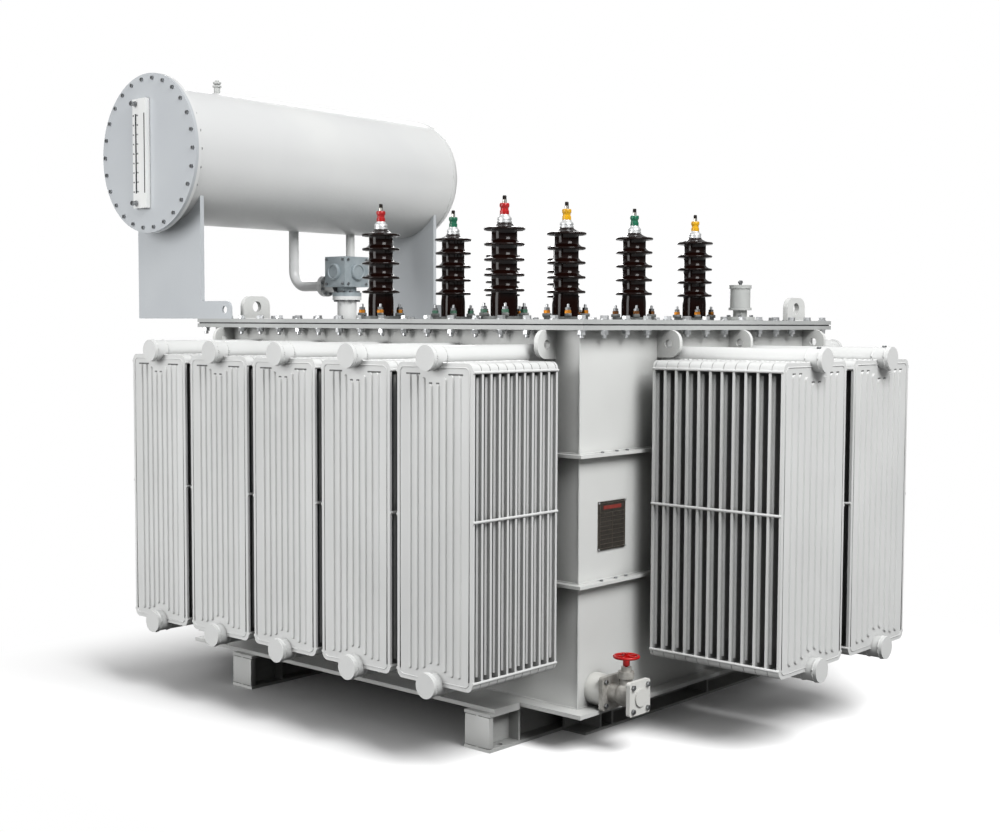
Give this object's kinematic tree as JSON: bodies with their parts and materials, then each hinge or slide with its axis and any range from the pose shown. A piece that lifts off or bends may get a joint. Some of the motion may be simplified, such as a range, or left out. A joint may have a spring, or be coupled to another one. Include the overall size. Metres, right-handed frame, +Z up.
{
  "type": "power transformer",
  "caption": "Oil-filled power transformer: bolted tank on skids with plate radiators on three sides, ribbed bushings on the cover and a raised conservator at one end.",
  "frame": {"origin": "on the ground under the middle of the whole object's box", "axes": "+X towards the end wall with the drain valve, away from the conservator; -Y towards the front radiators; +Z up"},
  "size_m": [4.58, 3.752, 3.603],
  "materials": {
    "tank_paint": "pale grey gloss enamel",
    "radiator_paint": "pale grey gloss enamel, flow coated",
    "conservator_paint": "pale grey gloss enamel",
    "gasket": "matte black sheet",
    "brown_glaze": "dark brown gloss glaze",
    "clamp_iron": "dark painted",
    "tinned_copper": "bright tinned",
    "red_sleeve": "red moulded",
    "yellow_sleeve": "yellow moulded",
    "green_sleeve": "green moulded",
    "gauge_glass": "dark oil behind clear glass",
    "relay_metal": "cast, pale grey",
    "nameplate_metal": "dark etched, bare",
    "valve_paint": "pale grey paint over casting",
    "wheel_red": "red gloss enamel"
  },
  "bodies": {
    "transformer": {"back_radiator_1": "radiator_paint", "back_radiator_2": "radiator_paint", "back_radiator_3": "radiator_paint", "back_radiator_4": "radiator_paint", "back_radiator_5": "radiator_paint", "bushing_clamp_rings": "clamp_iron", "bushing_porcelains_row_a": "brown_glaze", "bushing_porcelains_row_b": "brown_glaze", "bushing_terminals": "tinned_copper", "conservator_back_support": "conservator_paint", "conservator_dished_end": "conservator_paint", "conservator_end_plate": "conservator_paint", "conservator_end_side_beam": "tank_paint", "conservator_end_skid": "tank_paint", "conservator_flange_ring": "conservator_paint", "conservator_front_support": "conservator_paint", "conservator_shell": "conservator_paint", "cover_gasket": "gasket", "cover_lifting_lugs": "tank_paint", "cover_plate": "tank_paint", "drain_blind_flange": "valve_paint", "drain_stub": "valve_paint", "drain_valve_body": "valve_paint", "end_radiator_1": "radiator_paint", "end_radiator_2": "radiator_paint", "filler_neck": "conservator_paint", "front_radiator_1": "radiator_paint", "front_radiator_2": "radiator_paint", "front_radiator_3": "radiator_paint", "front_radiator_4": "radiator_paint", "front_radiator_5": "radiator_paint", "gas_relay": "relay_metal", "green_terminal_sleeves": "green_sleeve", "level_gauge_body": "conservator_paint", "level_gauge_glass": "gauge_glass", "nameplate": "nameplate_metal", "pressure_relief_device": "tank_paint", "red_terminal_sleeves": "red_sleeve", "relay_pipes": "conservator_paint", "relay_riser": "conservator_paint", "tank_back_wall": "tank_paint", "tank_base_plate": "tank_paint", "tank_conservator_end_wall": "tank_paint", "tank_flange": "tank_paint", "tank_front_wall": "tank_paint", "tank_lifting_lugs": "tank_paint", "tank_stiffener_belts": "tank_paint", "tank_valve_end_wall": "tank_paint", "valve_end_side_beam": "tank_paint", "valve_end_skid": "tank_paint", "yellow_terminal_sleeves": "yellow_sleeve"},
    "handwheel": {"drain_handwheel": "wheel_red"}
  },
  "joints": [
    {"name": "drain_handwheel_turn", "type": "hinge", "parent": "transformer", "child": "handwheel", "pos_m": [1.565, -0.969, 0.479], "axis": [0, 0, 1], "range_deg": [0, 2160]}
  ]
}
